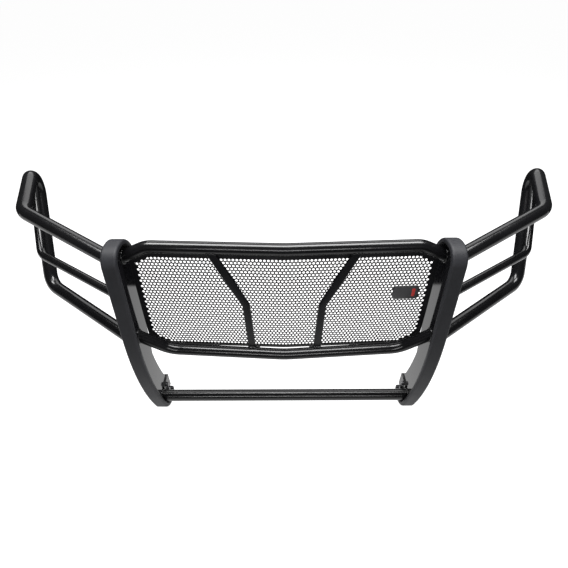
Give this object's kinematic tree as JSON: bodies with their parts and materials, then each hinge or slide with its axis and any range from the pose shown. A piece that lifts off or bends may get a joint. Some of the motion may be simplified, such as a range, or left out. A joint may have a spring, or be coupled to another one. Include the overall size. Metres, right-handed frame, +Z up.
{
  "type": "front grille guard",
  "caption": "Pickup front grille guard: upright plates with rubber strips, cross tubes, punched screen, braces and wraparound wing tubes, bolted to the truck frame.",
  "frame": {"origin": "middle of the four frame bolt holes, on the rear faces of the bracket flanges", "axes": "+X to the right as seen from in front of the guard, +Y rearward into the truck, +Z up"},
  "size_m": [2.0656, 0.5801, 0.9839],
  "materials": {
    "gloss_black": "glossy black powder coat",
    "screen_black": "semi-gloss black powder coat",
    "strip_rubber": "matte black rubber",
    "zinc_hardware": "zinc plated steel",
    "badge": "satin metal, no lettering"
  },
  "bodies": {
    "root": {"upright_plate_left": "gloss_black", "upright_plate_right": "gloss_black", "rubber_strip_left": "strip_rubber", "rubber_strip_right": "strip_rubber", "top_cross_tube": "gloss_black", "lower_cross_tube": "gloss_black", "bottom_cross_tube": "gloss_black", "punched_screen": "screen_black", "screen_tabs": "gloss_black", "brace_left": "gloss_black", "brace_right": "gloss_black", "wing_loop_left": "gloss_black", "wing_loop_right": "gloss_black", "wing_rail_left": "gloss_black", "wing_rail_right": "gloss_black", "mount_bracket_left": "gloss_black", "mount_bracket_right": "gloss_black", "bracket_bolts": "zinc_hardware", "bracket_washers": "zinc_hardware", "bracket_nuts": "zinc_hardware", "badge_plate": "badge", "badge_studs": "zinc_hardware", "badge_nuts": "zinc_hardware"}
  },
  "joints": []
}
